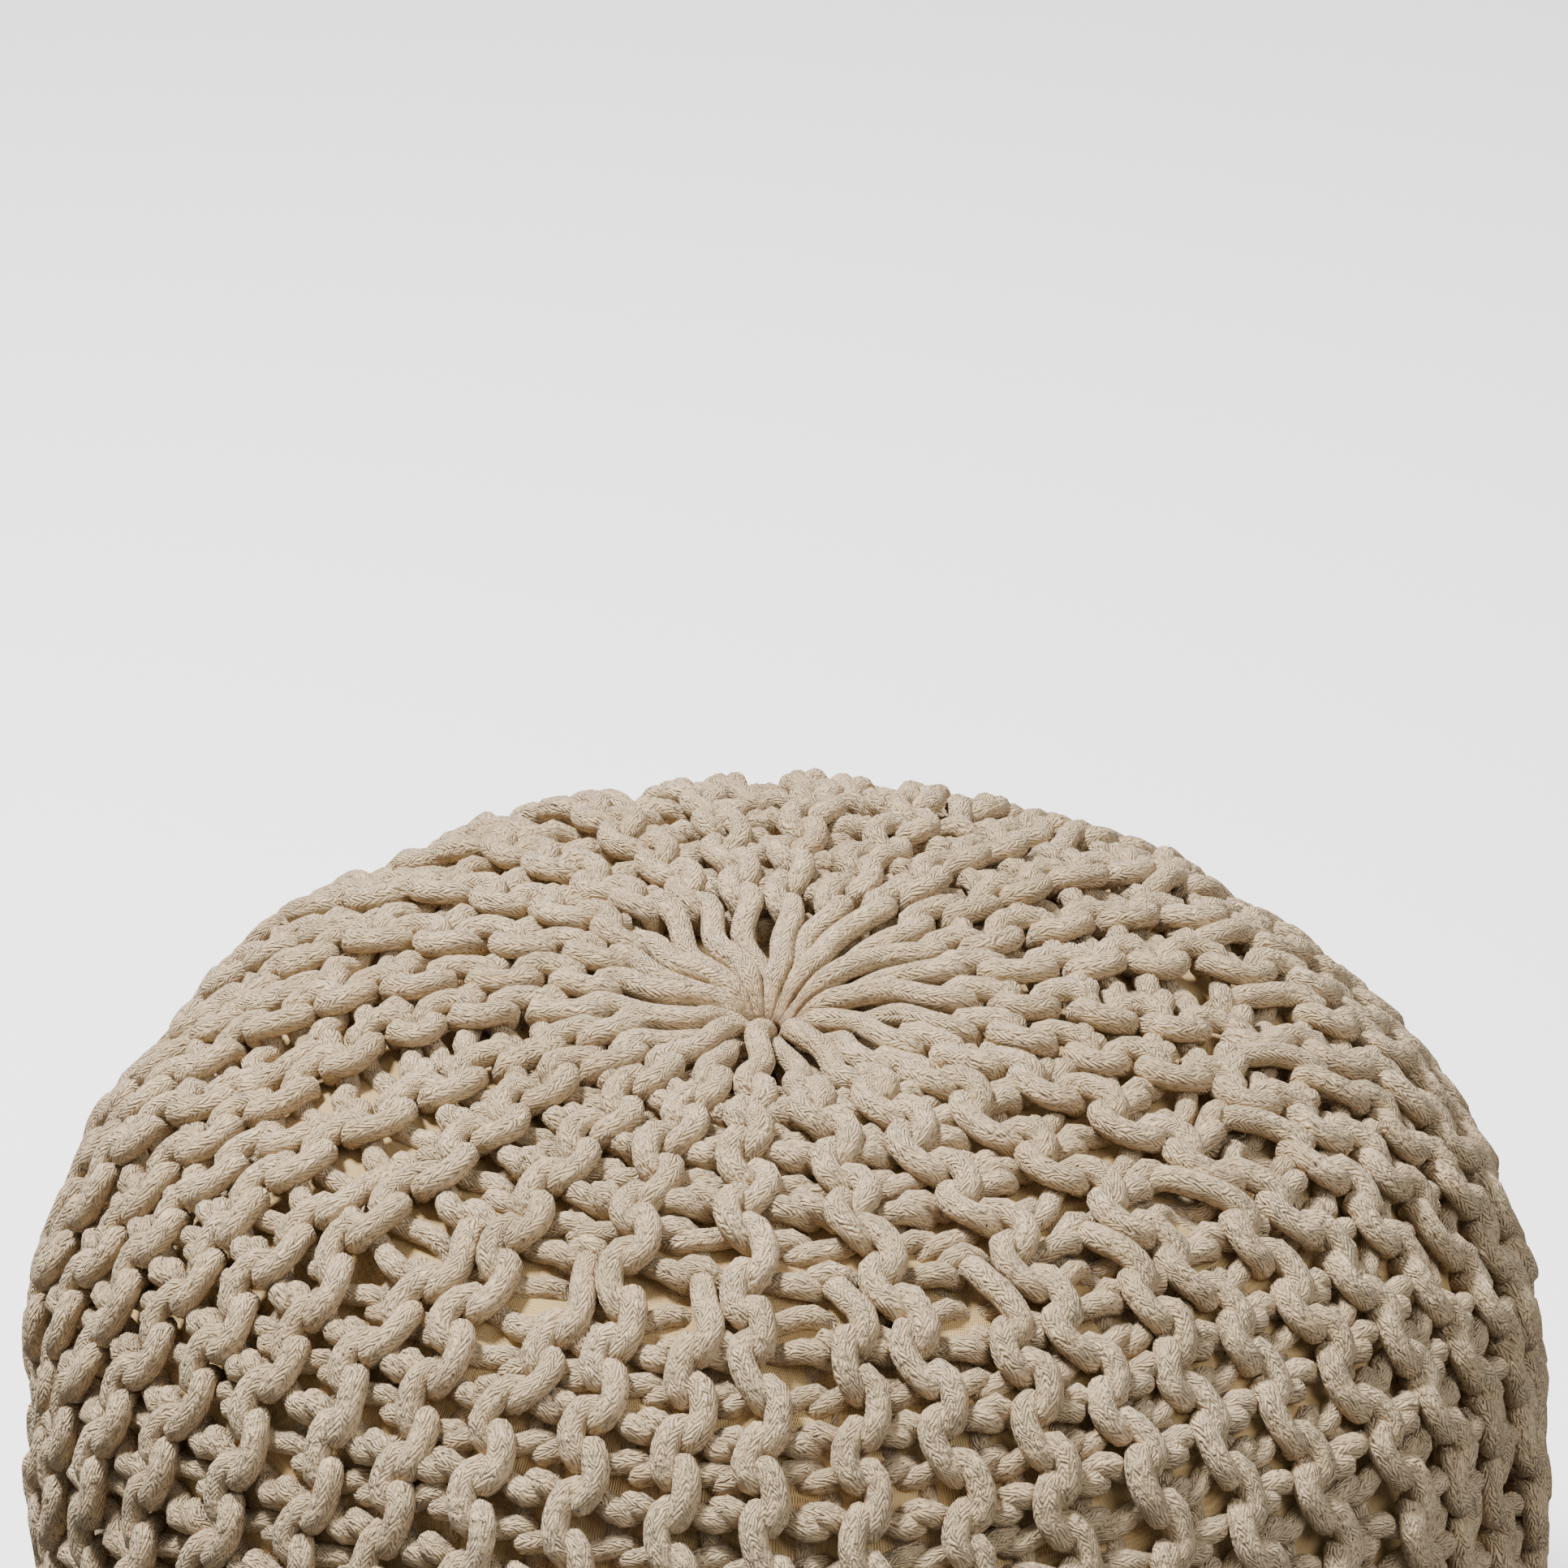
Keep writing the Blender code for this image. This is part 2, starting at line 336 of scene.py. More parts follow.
def ridge_places(ridge):
    """A ridge's closed cord, as places along, angle and depth."""
    is_short = ridge % 2 == 1
    count = STITCHES - (2 * SKIPPED if is_short else 0)
    first_trim, second_trim = SHORT_TRIMS if is_short else (0.0, 0.0)
    steps = count * SAMPLES + 1
    first = np.stack(row(ridge, False, np.linspace(first_trim, count - first_trim, steps)), 1)
    second = np.stack(row(ridge, True, np.linspace(second_trim, count - second_trim, steps)), 1)
    mirror = np.array([LENGTH, 0, 0, 0])
    flip = np.array([-1, 1, 1, 1])
    ends = mirror + flip * first[-1], mirror + flip * second[-1]
    if is_short:
        top = short_turn(first[0], second[0])
        foot = mirror + flip * short_turn(*ends)
    else:
        dice = np.random.default_rng(ridge)
        top = hub_turn(first[0], second[0], ridge / 2, dice)
        foot = mirror + flip * hub_turn(*ends, ridge / 2, dice)
    places = np.concatenate([first[::-1], top[1:-1], second, foot[::-1][1:-1]])
    along, lane, aside, depth = places.T
    angle = lane * 2 * math.pi / FULL_RIDGES + aside / np.maximum(radius_at(along), EYE_RADIUS)
    angle = angle + TURN_AT_HUB + TWIST * fade(along, TWIST_FROM, TWIST_TO)
    if not is_short:
        top_late, foot_late = dice.uniform(-FIRST_LATE, FIRST_LATE, 2)
        along = shifted(along, along, top_late)
        along = shifted(along, LENGTH - along, foot_late)
    return along, angle, depth


# %% Points at even steps
STEP = 0.0037
NUDGE = 0.001             # outwards, to find which way that is


def evenly(places):
    """A closed cord's places, moved to even steps along it."""
    closed = [np.append(values, values[0]) for values in places]
    line = on_pouf(*closed)
    way = np.concatenate([[0.0], np.cumsum(np.linalg.norm(np.diff(line, axis=0), axis=1))])
    at = np.linspace(0, way[-1], round(way[-1] / STEP), endpoint=False)
    return [np.interp(at, way, values) for values in closed]


started = time.perf_counter()
cords = [evenly(ridge_places(ridge)) for ridge in range(2 * FULL_RIDGES)]
along, angle, depth = (np.concatenate([cord[index] for cord in cords]) for index in range(3))
points = on_pouf(along, angle, depth)
outward = on_pouf(along, angle, depth - NUDGE) - points
outward /= np.linalg.norm(outward, axis=1)[:, None]
counts = np.array([len(cord[0]) for cord in cords])
starts = np.cumsum(counts) - counts
owner = np.repeat(np.arange(len(cords)), counts)
number = np.arange(len(points)) - starts[owner]
after = starts[owner] + (number + 1) % counts[owner]
before = starts[owner] + (number - 1) % counts[owner]
print(f"{len(points)} points on {len(cords)} cords, {len(points) * STEP:.0f} m of cord, "
      f"{time.perf_counter() - started:.1f} s")

# %% [markdown]
# ## A hand's unevenness
# No two loops of a hand-knitted cover are alike. Sums of sine waves in random directions push
# the points about: neighbours move together, so the knitting stays in order, which a push
# for each point alone would jumble. The cord itself is thinner where many crowd into a hub.

# %% Waves
WAVES = 14
WAVE_SPREAD = (0.75, 1.3)  # of their lengths around the one that is asked for


def waves(places, length, strength, seed):
    """A smooth random push for each place, the same on every run."""
    dice = np.random.default_rng(seed)
    push = np.zeros_like(places)
    for _ in range(WAVES):
        facing, way = dice.normal(size=(2, 3))
        facing *= 2 * math.pi / length / np.linalg.norm(facing) * dice.uniform(*WAVE_SPREAD)
        swing = np.sin(places @ facing + dice.uniform(0, 2 * math.pi))
        push += swing[:, None] * way / np.linalg.norm(way)
    # Along one axis, the mean square of a single wave is a sixth
    return push * strength * math.sqrt(6 / WAVES)


# %% The cord's own thickness, and where each loop lies
# Length, strength and seed of waves
THICK_SLOWLY, THICK_QUICKLY = (0.05, 0.02, 5), (0.012, 0.015, 6)
MOVED_SLOWLY, MOVED_QUICKLY = (0.085, 0.0011, 1), (0.032, 0.0009, 2)
CROWD = 1.30              # a cord is this much thicker than its share of a hub's girth
HIGH_SPOKE = 1.5          # and the spokes that lie on top are so much thicker again
THINNEST = 0.0014
LEG_SQUEEZE = 0.14        # legs are drawn thinner than the bends in front
LEG_DEEPER = (0.0060, 0.0095)  # and lie deeper than these

to_axis = np.hypot(points[:, 0], points[:, 1])
is_high_spoke = owner % 4 == 0
crowd = CROWD * math.pi * to_axis / FULL_RIDGES * np.where(is_high_spoke, HIGH_SPOKE, 1.0)
thickness = 1 + waves(points, *THICK_SLOWLY)[:, 0] + waves(points, *THICK_QUICKLY)[:, 1]
radii = np.clip(crowd, THINNEST, CORD_RADIUS) * thickness
radii *= 1 - LEG_SQUEEZE * fade(depth, *LEG_DEEPER)
points += waves(points, *MOVED_SLOWLY) + waves(points, *MOVED_QUICKLY)
home = points.copy()
print(f"cord radius {radii.min() * 1000:.1f} to {radii.max() * 1000:.1f} mm")

# %% [markdown]
# ## Settle the cords against each other
# Drawn loops cut into each other where they cross, and real cord can't: it is squeezed and
# bends out of the way. So every point now pushes away any point of another loop that is
# nearer than 0.6 of the cord's width, while each cord keeps its length, resists sharp bends,
# stays near its place and lies between the form and a limit inside the bag. The tubes stay
# round, so cords that touch still overlap, mostly by less than half of their width. A cloth
# solver can't do this with cords, but these five rules in NumPy can.


# %% Points that are near each other
SAME_BEND = 4             # points this few steps apart on a cord don't push each other


def near_pairs(places, reach):
    """Pairs of points within reach, found by sorting the points into cells of that size."""
    cell = np.floor((places - places.min(0)) / reach).astype(np.int64) + 1
    size = cell.max(0) + 2
    key = (cell[:, 0] * size[1] + cell[:, 1]) * size[2] + cell[:, 2]
    order = np.argsort(key, kind="stable")
    ordered = key[order]
    firsts, seconds = [], []
    for x, y, z in itertools.product((-1, 0, 1), repeat=3):
        shift = (x * size[1] + y) * size[2] + z
        if shift < 0:
            continue
        start = np.searchsorted(ordered, ordered + shift, "left")
        end = np.searchsorted(ordered, ordered + shift, "right")
        if shift == 0:
            start = np.arange(len(key)) + 1
        count = np.maximum(end - start, 0)
        run = np.arange(count.sum()) - np.repeat(np.cumsum(count) - count, count)
        firsts.append(order[np.repeat(np.arange(len(key)), count)])
        seconds.append(order[np.repeat(start, count) + run])
    first, second = np.concatenate(firsts), np.concatenate(seconds)
    gap = places[first] - places[second]
    steps = np.abs(number[first] - number[second])
    steps = np.minimum(steps, counts[owner[first]] - steps)
    is_same_bend = (owner[first] == owner[second]) & (steps <= SAME_BEND)
    chosen = (np.einsum("ij,ij->i", gap, gap) < reach * reach) & ~is_same_bend
    return first[chosen], second[chosen]


# %% Settle
ROUNDS = 24
SEARCH_EVERY = 8          # rounds
SEARCH_MARGIN = 0.0015
SQUEEZE = 0.60            # two cords touch at this share of their full width
EAGER = 1.4               # a point that several push moves by the mean push times this
KEEP_LENGTH = 0.25        # shares by which each round mends a wrong length,
BEND = 0.05               # a sharp bend
HOLD = 0.12               # and a point that has moved away from its place
DEEPEST = 0.0175          # under the form, for a cord's middle. The bag begins above that
SKIN_SHARE = 0.98         # of a cord's radius stays inside the form

started = time.perf_counter()
rest = np.linalg.norm(points[after] - points, axis=1)
for round_number in range(ROUNDS):
    if round_number % SEARCH_EVERY == 0:
        first, second = near_pairs(points, 2 * CORD_RADIUS * SQUEEZE + SEARCH_MARGIN)
        wanted = SQUEEZE * (radii[first] + radii[second])
        both = np.concatenate([first, second])
    gap = points[first] - points[second]
    distance = np.linalg.norm(gap, axis=1)
    lacking = np.maximum(wanted - distance, 0.0)
    push = gap * (0.5 * lacking / np.maximum(distance, 1e-6))[:, None]
    push = np.concatenate([push, -push])
    touching = np.bincount(both, np.tile(lacking > 0, 2), len(points))
    for axis in range(3):
        moved = np.bincount(both, push[:, axis], len(points))
        points[:, axis] += moved * EAGER / np.maximum(touching, EAGER)
    link = points[after] - points
    length = np.linalg.norm(link, axis=1)
    pull = link * (KEEP_LENGTH * (length - rest) / length)[:, None]
    points += pull - pull[before]
    points += BEND * ((points[after] + points[before]) / 2 - points)
    points += HOLD * (home - points)
    out = np.einsum("ij,ij->i", points - home, outward)
    allowed = np.clip(out, depth - DEEPEST, depth - radii * SKIN_SHARE)
    points += (allowed - out)[:, None] * outward
    points[:, 2] = np.maximum(points[:, 2], radii)
mean_move = np.linalg.norm(points - home, axis=1).mean()
print(f"{len(first)} pairs, {mean_move * 1000:.1f} mm mean move, 99 in 100 pairs are at most "
      f"{np.percentile(lacking, 99) * 1000:.2f} mm too near, {time.perf_counter() - started:.1f} s")

# %% [markdown]
# ## Skin the cords
# The cord is a round tube. A curve with a bevel would make one too, but its UV map isn't in
# metres and its tube twists where it likes. So the tube is built here: a ring at each point,
# carried from one to the next without turning, and the twist that is left at the end of the
# closed cord is spread over the whole of it. The knitting is one piece on the real pouf. Here
# it is six panels of eight ridges, which keeps each mesh small.

# %% A tube around a closed line
SIDES = 10


def tube(line, radius):
    """Rings of points around a closed line."""
    count = len(line)
    ahead = np.roll(line, -1, axis=0) - np.roll(line, 1, axis=0)
    ahead /= np.linalg.norm(ahead, axis=1)[:, None]
    side = np.zeros_like(line)
    side[0] = np.cross(ahead[0], [0.0, 0.0, 1.0])
    side[0] /= np.linalg.norm(side[0])
    for index in range(1, count):
        moved = side[index - 1] - ahead[index] * side[index - 1].dot(ahead[index])
        side[index] = moved / np.linalg.norm(moved)
    closing = side[-1] - ahead[0] * side[-1].dot(ahead[0])
    closing /= np.linalg.norm(closing)
    twist = math.atan2(np.cross(closing, side[0]).dot(ahead[0]), closing.dot(side[0]))
    other = np.cross(ahead, side)
    around = np.linspace(0, 2 * math.pi, SIDES, endpoint=False)
    spin = (around[None, :] + twist * np.arange(count)[:, None] / count)[..., None]
    reach = radius[:, None, None]
    return line[:, None] + reach * (np.cos(spin) * side[:, None] + np.sin(spin) * other[:, None])


def tube_faces(count):
    """Faces of a tube of count rings, and each corner's place on the UV map: metres along the
    cord and the share of a turn around it."""
    index = np.arange(count)[:, None]
    column = np.arange(SIDES)[None, :]
    onward, beside = (index + 1) % count, (column + 1) % SIDES
    faces = np.stack([index * SIDES + column, index * SIDES + beside,
                      onward * SIDES + beside, onward * SIDES + column], -1)
    way = index * STEP + 0 * column
    u = np.stack([way, way, way + STEP, way + STEP], -1)
    v = np.stack([column, column + 1, column + 1, column], -1) / SIDES + 0 * u
    return faces.reshape(-1, 4), np.stack([u, v], -1).reshape(-1, 2)


# %% Panels of cord
PANELS = 6


def skin(name, lines, radii):
    """One mesh with a tube around each closed line."""
    corners, faces, places = [], [], []
    start = 0
    for line, radius in zip(lines, radii):
        own_faces, own_places = tube_faces(len(line))
        corners.append(tube(line, radius).reshape(-1, 3))
        faces.append(start + own_faces)
        places.append(own_places)
        start += len(line) * SIDES
    corners, faces, places = (np.concatenate(lists) for lists in (corners, faces, places))
    mesh = bpy.data.meshes.new(name)
    mesh.vertices.add(len(corners))
    mesh.vertices.foreach_set("co", corners.astype(np.float32).ravel())
    mesh.loops.add(faces.size)
    mesh.loops.foreach_set("vertex_index", faces.astype(np.int32).ravel())
    mesh.polygons.add(len(faces))
    mesh.polygons.foreach_set("loop_start", np.arange(0, faces.size, 4, dtype=np.int32))
    layer = mesh.uv_layers.new(name="UVMap")
    layer.uv.foreach_set("vector", places.astype(np.float32).ravel())
    mesh.update(calc_edges=True)
    mesh.shade_smooth()
    piece = bpy.data.objects.new(name, mesh)
    bpy.context.scene.collection.objects.link(piece)
    return piece


started = time.perf_counter()
in_panel = len(cords) // PANELS
panels = []
for panel_number in range(PANELS):
    ridges = range(panel_number * in_panel, (panel_number + 1) * in_panel)
    parts = [slice(starts[ridge], starts[ridge] + counts[ridge]) for ridge in ridges]
    panels.append(skin(f"knit_panel_{panel_number + 1}", [points[part] for part in parts],
                       [radii[part] for part in parts]))
print(f"{PANELS} panels, {sum(len(p.data.polygons) * 2 for p in panels)} triangles, "
      f"{time.perf_counter() - started:.1f} s")

# %% [markdown]
# ## The calico bag
# The knitting is open, so the filling sits in a bag of calico. It is a closed form 14 mm
# under the ridges. A real bag gives way to the back bends of the cord and swells out between
# them. Here it keeps its form, and the back bends reach into it, mostly by less than 5 mm. A
# cloth simulation would take minutes for what shows only in small gaps, so it is the side
# view's curve again, deeper down, with gentle waves.

# %% The calico bag
BAG_DEPTH = 0.0138
HUB_DEPTH = 0.006         # so much deeper under a hub
HUB_DEPTH_ENDS = (0.03, 0.07)  # and less so between these distances from it
BAG_WAVES = (0.03, 0.0005, 9)  # length, strength and seed
BAG_FLOOR = 0.0125        # the bag stays this far off the floor
BAG_SIDES = 144
BAG_ROWS = 110

bag_along = np.linspace(EYE_RADIUS, LENGTH - EYE_RADIUS, BAG_ROWS)
bag_angle = np.linspace(0, 2 * math.pi, BAG_SIDES, endpoint=False)
grid_along, grid_angle = np.meshgrid(bag_along, bag_angle, indexing="ij")
near_hub = 1 - fade(from_hub(grid_along), *HUB_DEPTH_ENDS)
bag_points = on_pouf(grid_along, grid_angle, BAG_DEPTH + HUB_DEPTH * near_hub).reshape(-1, 3)
bag_points += waves(bag_points, *BAG_WAVES)
bag_points[:, 2] = np.clip(bag_points[:, 2], BAG_FLOOR, None)

ring = np.arange(BAG_SIDES)
beside = np.roll(ring, -1)
bag_faces = []
for row_start in range(0, (BAG_ROWS - 1) * BAG_SIDES, BAG_SIDES):
    next_start = row_start + BAG_SIDES
    corners = [row_start + ring, row_start + beside, next_start + beside, next_start + ring]
    bag_faces += np.stack(corners, -1).tolist()
bag_faces.append(ring[::-1].tolist())
bag_faces.append(((BAG_ROWS - 1) * BAG_SIDES + ring).tolist())

bag_mesh = bpy.data.meshes.new("calico_bag")
bag_mesh.from_pydata(bag_points.tolist(), [], bag_faces)
bag_mesh.update()
bag_mesh.shade_smooth()
bag = bpy.data.objects.new("calico_bag", bag_mesh)
bpy.context.scene.collection.objects.link(bag)
bag_triangles = sum(len(polygon.vertices) - 2 for polygon in bag_mesh.polygons)
print(f"calico bag, {bag_triangles} triangles")

# %% [markdown]
# ## Materials
# A shader is a sum, so it is written as one. The class wraps a socket and gives it the
# operators of a number. All patterns are noises and waves, which stay sharp this close.


# %% A socket that adds and multiplies
def feed(node, inputs):
    """Sets a node's inputs, by name or number, to plain values or links them to a Value."""
    for name, value in inputs.items():
        if isinstance(value, Value):
            value.tree.links.new(value.socket, node.inputs[name])
        else:
            node.inputs[name].default_value = value


class Value:
    """An output of a material's node tree."""

    def __init__(self, tree, socket=None):
        self.tree = tree
        self.socket = socket

    def node(self, kind, settings, inputs, output=0):
        """Any node: its settings first, then its inputs."""
        made = self.tree.nodes.new(kind)
        for name, value in settings.items():
            setattr(made, name, value)
        feed(made, inputs)
        return Value(self.tree, made.outputs[output])

    def math(self, operation, other=0.0):
        return self.node("ShaderNodeMath", {"operation": operation}, {0: self, 1: other})

    def __add__(self, other):
        return self.math("ADD", other)

    def __sub__(self, other):
        return self.math("SUBTRACT", other)

    def __rsub__(self, other):
        return self.node("ShaderNodeMath", {"operation": "SUBTRACT"}, {0: other, 1: self})

    def __mul__(self, other):
        return self.math("MULTIPLY", other)

    __radd__ = __add__
    __rmul__ = __mul__

    def parts(self):
        """X, Y and Z of a vector."""
        split = self.node("ShaderNodeSeparateXYZ", {}, {0: self})
        return [Value(self.tree, socket) for socket in split.socket.node.outputs]

    def step(self, start, end):
        """0 before start, 1 past end, and a smooth step between them."""
        settings = {"interpolation_type": "SMOOTHSTEP"}
        inputs = {"Value": self, "From Min": start, "From Max": end}
        return self.node("ShaderNodeMapRange", settings, inputs)

    def blend(self, first, second):
        """The first colour where this is 0 and the second where it is 1."""
        inputs = {0: self, 6: first, 7: second}
        return self.node("ShaderNodeMix", {"data_type": "RGBA"}, inputs, output=2)

    def noise(self, size, detail=2.0):
        """Noise with lumps of about this size, over this place."""
        inputs = {"Vector": self, "Scale": 1 / size, "Detail": detail}
        return self.node("ShaderNodeTexNoise", {}, inputs)

    def bump(self, distance, strength=1.0):
        """A normal from this height, of which 1 stands for the distance."""
        inputs = {"Strength": strength, "Distance": distance, "Height": self}
        return self.node("ShaderNodeBump", {}, inputs)


# %% Materials and their first sockets
OBJECT_PLACE = 3          # the Texture Coordinate node's output that gives the object's metres


def new_material(name):
    """A material, and its shader."""
    material = bpy.data.materials.new(name)
    material.use_nodes = True
    return material, material.node_tree.nodes["Principled BSDF"]


def place_in(material):
    """Where the shaded point is, in metres."""
    start = Value(material.node_tree)
    return start.node("ShaderNodeTexCoord", {}, {}, output=OBJECT_PLACE)


# %% [markdown]
# ## Cotton cord
# Close up, the cord is a small knitted tube itself: columns of V-shaped stitches run along
# it, and each V is a few twisted strands. The tube's UV map holds metres along the cord and
# the share of a turn around it, so a folded sum of both draws the Vs. Modelled strands would
# take a hundred times the triangles, so they are a bump. The undyed cotton is paler where it
# is rubbed and dotted with dark bits of seed husk, and painted shade darkens it in the
# crevices between the strands.

# %% The cord's strands
CORD_COLUMNS = 6          # of Vs around the tube
STRAND_PITCH = 0.0024     # along the cord
STRAND_LEAN = 1.7         # strands that a V's leg leans by
SMOOTH = 1.0              # detail of a noise without fine lumps
SWAY_SIZE = 0.006         # the strands waver in lumps of this size,
SWAY_AROUND = 1.2         # by so much of a column around the tube
SWAY_ALONG = 2.0          # and by so many strands along it,
LATE_SIZE, LATE_ALONG = 0.004, 1.2  # and once more along it
HAIRS_IN_STRAND, HAIRS_IN_COLUMN = 6.0, 2.5
FELT_SIZE, FELT_DETAIL = 0.0010, 4.0
HAIR_SHARE, FELT_SHARE = 0.45, 0.55
LUMP_SIZE, LUMP_ENDS = 0.0028, (0.3, 0.65)
RELIEF_SIZE, RELIEF_ENDS = 0.007, (0.35, 0.65)  # strands stand out more here and less there,
RELIEF_LEAST, RELIEF_MORE = 0.25, 0.3           # between these heights
EDGE_ENDS = (0.4, 1.0)    # the cord is lower between two columns, from this share on
FUZZ_HEIGHT, LUMP_HEIGHT, EDGE_DEPTH = 0.6, 0.4, 0.2
LEVEL = 0.1               # taken off, to bring the lowest places to about 0
CORD_RELIEF = 0.0019      # metres for a height of 1

cord_material, cord_shader = new_material("cotton_cord")
where = place_in(cord_material)
uv = where.node("ShaderNodeUVMap", {"uv_map": "UVMap"}, {})
way, around, _ = uv.parts()
sway = where.noise(SWAY_SIZE, SMOOTH) - 0.5
wound = around * (CORD_COLUMNS * 2.0) + sway * SWAY_AROUND
column = wound.math("PINGPONG", 1.0)
late = where.noise(LATE_SIZE, SMOOTH) - 0.5
slope = way * (1 / STRAND_PITCH) + column * STRAND_LEAN + sway * SWAY_ALONG + late * LATE_ALONG
strand = slope.math("PINGPONG", 0.5) * 2.0
rounded = strand * (2.0 - strand)
along_strands = {0: slope * HAIRS_IN_STRAND, 1: around * (CORD_COLUMNS * HAIRS_IN_COLUMN)}
hairs = where.node("ShaderNodeCombineXYZ", {}, along_strands)
fuzz = hairs.noise(1.0) * HAIR_SHARE + where.noise(FELT_SIZE, FELT_DETAIL) * FELT_SHARE
lumps = where.noise(LUMP_SIZE).step(*LUMP_ENDS)
relief = where.noise(RELIEF_SIZE).step(*RELIEF_ENDS) * RELIEF_MORE + RELIEF_LEAST
edge = ((column - 0.5).math("ABSOLUTE") * 2.0).step(*EDGE_ENDS)
height = rounded * relief + fuzz * FUZZ_HEIGHT + lumps * LUMP_HEIGHT - edge * EDGE_DEPTH - LEVEL
print("cord:", len(cord_material.node_tree.nodes), "nodes for the strands")

# %% The cord's colours
RUBBED, PLAIN = (0.665, 0.502, 0.305, 1), (0.575, 0.420, 0.242, 1)
# Painted shade: a darker, browner colour for the crevices between strands, where shade falls
CREVICE_PAINTED_SHADE = (0.37, 0.25, 0.14, 1)
HUSK = (0.07, 0.04, 0.02, 1)
IN_EYE = (0.64, 0.44, 0.24, 1)
WEAR_SIZE, WEAR_DETAIL, WEAR_ENDS = 0.03, 3.0, (0.35, 0.65)
PAINTED_SHADE_ENDS = (-0.10, 0.75)  # heights between which the painted crevice shade gives way
HUSK_SIZE, HUSK_ENDS = 0.0008, (0.785, 0.81)  # only a noise's few highest lumps are husks
EYE_ENDS = (0.006, 0.020)  # the hub's warm middle fades between these distances from it

wear = where.noise(WEAR_SIZE, WEAR_DETAIL).step(*WEAR_ENDS)
base = wear.blend(PLAIN, RUBBED)
# Painted shade: the low places between the strands take the darker crevice colour
base = height.step(*PAINTED_SHADE_ENDS).blend(CREVICE_PAINTED_SHADE, base)
husk = where.noise(HUSK_SIZE, 0.0).step(*HUSK_ENDS)
base = husk.blend(base, HUSK)
x, y, _ = where.parts()
x = x - HUB_OFFSET
to_eye = (x * x + y * y).math("POWER", 0.5)
base = to_eye.step(*EYE_ENDS).blend(IN_EYE, base)
feed(cord_shader, {"Base Color": base, "Normal": height.bump(CORD_RELIEF), "Roughness": 0.95,
                   "Sheen Weight": 0.08, "Sheen Roughness": 0.6})
print("cord:", len(cord_material.node_tree.nodes), "nodes")

# %% [markdown]
# ## Calico
# Plain weave: threads go over and under in turn, about every half millimetre. Two crossed
# sines do that, one around the bag and one up its side and over the top.

# %% Calico
THREAD_ACROSS, THREAD_UP = 0.00045, 0.0005
BAG_RADIUS = 0.235        # where the threads across have their true width
CREASE_SIZE, CREASE_HEIGHT, THREAD_HEIGHT = 0.02, 3.0, 0.5
CALICO_RELIEF, RELIEF_STRENGTH = 0.0005, 0.8
CALICO_TONES, TONE_ENDS = ((0.56, 0.385, 0.175, 1), (0.62, 0.445, 0.21, 1)), (0.3, 0.7)
BETWEEN_THREADS, THREAD_ENDS = (0.46, 0.30, 0.125, 1), (-0.9, 0.3)

calico_material, calico_shader = new_material("calico")
where = place_in(calico_material)
x, y, z = where.parts()
across = y.math("ARCTAN2", x) * BAG_RADIUS * (math.pi / THREAD_ACROSS)
upward = (z + (x * x + y * y).math("POWER", 0.5)) * (math.pi / THREAD_UP)
weave = across.math("SINE") * upward.math("SINE")
crease = where.noise(CREASE_SIZE)
cloth_height = weave * THREAD_HEIGHT + crease * CREASE_HEIGHT
tone = crease.step(*TONE_ENDS).blend(*CALICO_TONES)
tone = weave.step(*THREAD_ENDS).blend(BETWEEN_THREADS, tone)
folds = cloth_height.bump(CALICO_RELIEF, RELIEF_STRENGTH)
feed(calico_shader, {"Base Color": tone, "Normal": folds, "Roughness": 0.9})
print("calico:", len(calico_material.node_tree.nodes), "nodes")

# %% [markdown]
# ## What rides and replaces what
# The pouf has no moving part, so every piece rides on the root. The solid cover stays for
# collision and is hidden behind its six panels, and the solid bag behind the calico one.

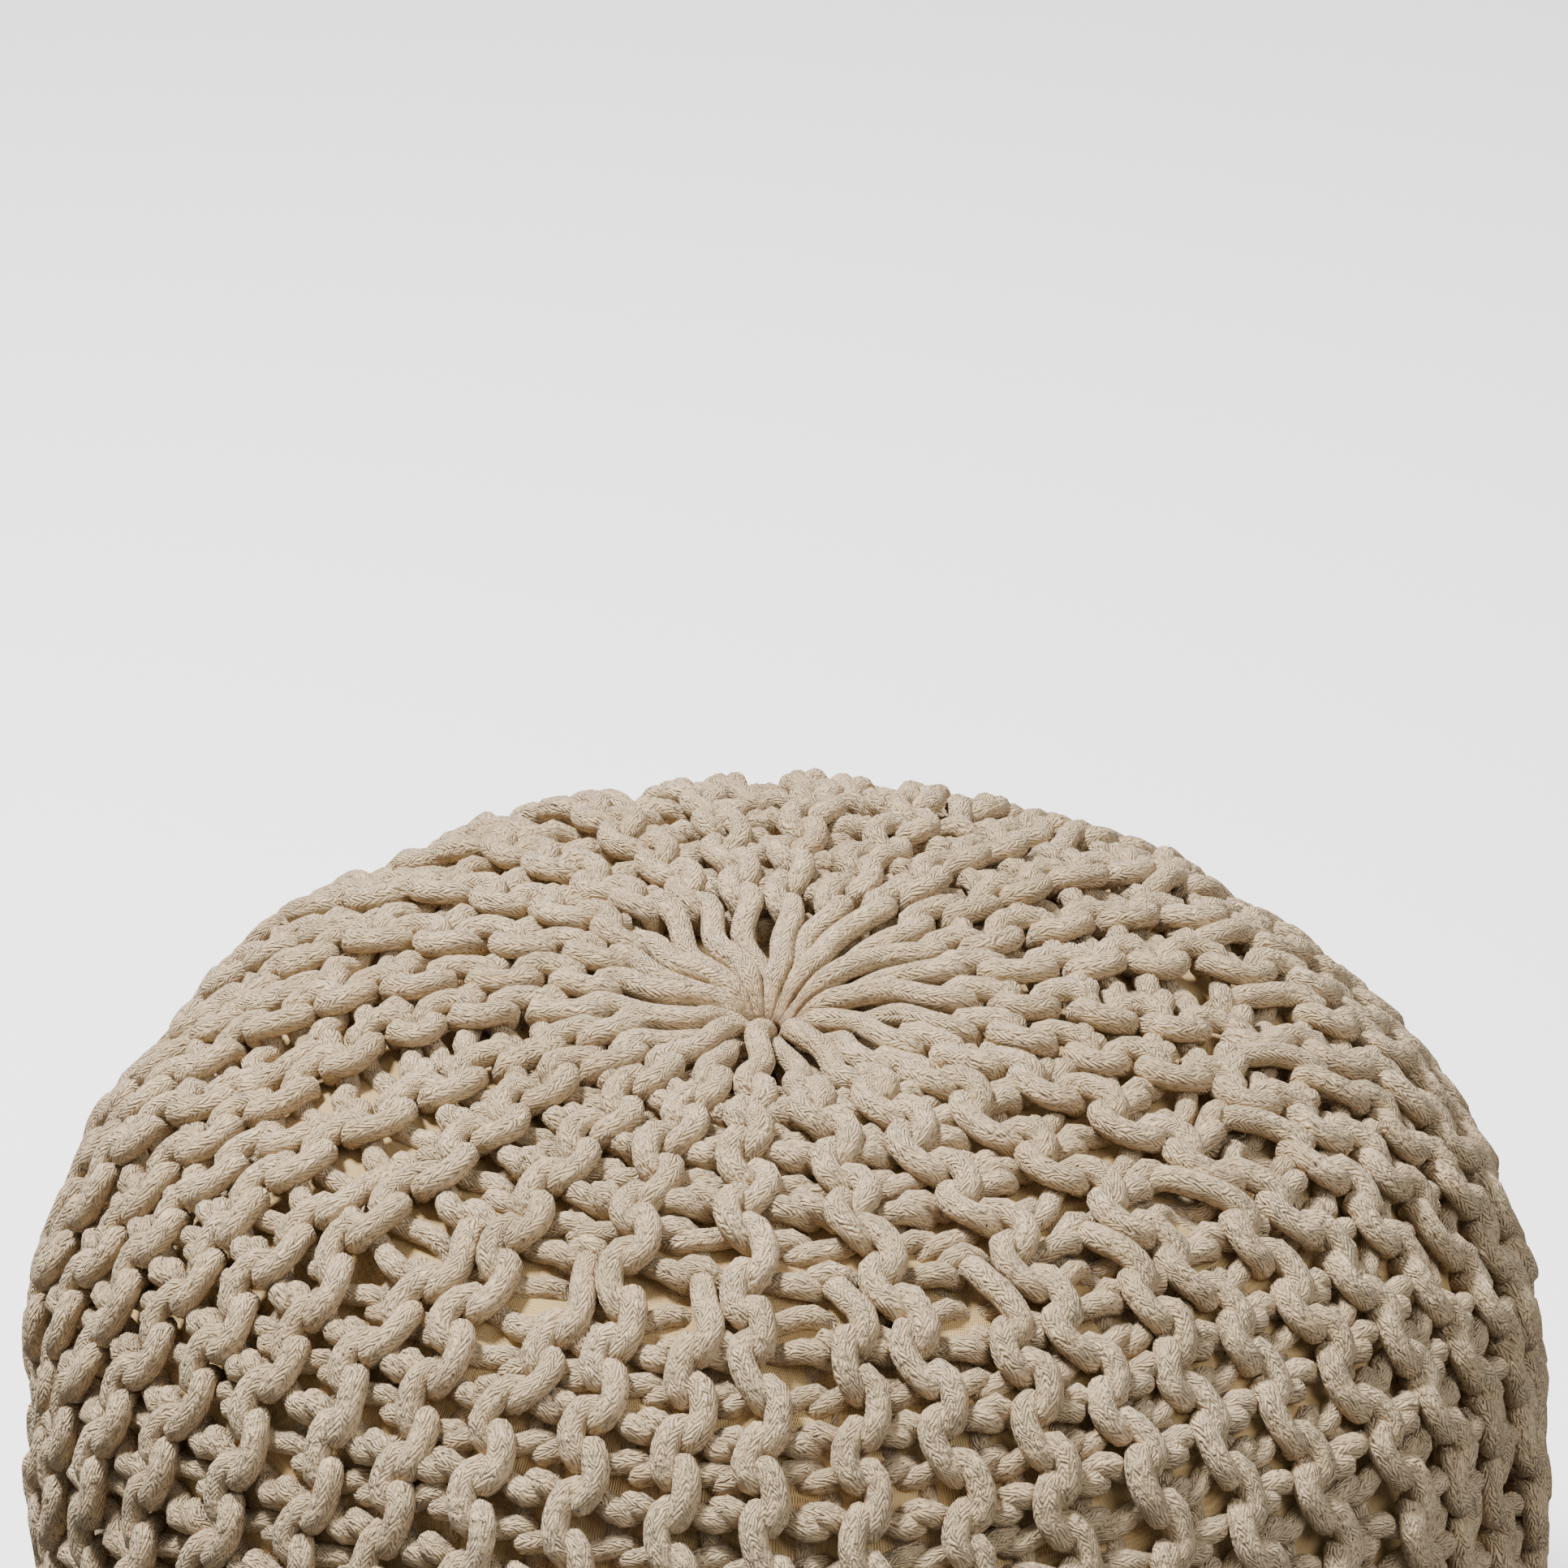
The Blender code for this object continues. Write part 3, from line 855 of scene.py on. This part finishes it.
# %% Ride and replace
for panel in panels:
    panel.data.materials.append(cord_material)
    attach(panel, "root")
    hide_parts("knit_cover")
bag.data.materials.append(calico_material)
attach(bag, "root")
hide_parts("inner_bag")
print("pieces:", [panel.name for panel in panels] + [bag.name])

# %% [markdown]
# ## Studio
# The photograph has a plain white ground and one soft lamp, high up on the left. The floor
# and the round backdrop glow, so that they look white, but only to the camera: the light
# that they would throw back would wash out the shadows between the loops. They still catch
# the pouf's own shadow.

# %% Floor and backdrop
FLOOR_SIZE, FLOOR_GLOW = 40.0, 1.2
BACKDROP_RADIUS, BACKDROP_GLOW = 19.0, 1.3
PAPER, WHITE = (0.9, 0.9, 0.9, 1), (1, 1, 1, 1)


def set_stage(piece, name, glow):
    piece.name = name
    material, shader = new_material(name)
    feed(shader, {"Base Color": PAPER, "Emission Color": WHITE, "Emission Strength": glow})
    piece.data.materials.append(material)
    piece.visible_diffuse = False
    piece.visible_glossy = False


bpy.ops.mesh.primitive_plane_add(size=FLOOR_SIZE, location=(0, 0, 0))
set_stage(bpy.context.object, "floor", FLOOR_GLOW)
bpy.ops.mesh.primitive_uv_sphere_add(segments=48, ring_count=24, radius=BACKDROP_RADIUS,
                                     location=(0, 0, 0))
backdrop = bpy.context.object
backdrop.visible_shadow = False
set_stage(backdrop, "backdrop", BACKDROP_GLOW)
print("floor and backdrop")

# %% Light
SKY = 0.30
LAMPS_AIM = (0, 0, 0.2)
# Name, place, size and watts
KEY = ("key", (-0.88, 0.25, 2.30), 0.5, 136)
FILL = ("fill", (1.1, -1.1, 1.8), 1.2, 24)

world = bpy.data.worlds.new("studio")
bpy.context.scene.world = world
world.use_nodes = True
feed(world.node_tree.nodes["Background"], {"Color": WHITE, "Strength": SKY})


def lamp(name, place, size, power):
    data = bpy.data.lights.new(name, "AREA")
    data.shape = "DISK"
    data.size = size
    data.energy = power
    light = bpy.data.objects.new(name, data)
    light.location = place
    towards = Vector(LAMPS_AIM) - Vector(place)
    light.rotation_euler = towards.to_track_quat("-Z", "Y").to_euler()
    bpy.context.scene.collection.objects.link(light)
    print(name, "lamp of", power, "W")


lamp(*KEY)
lamp(*FILL)
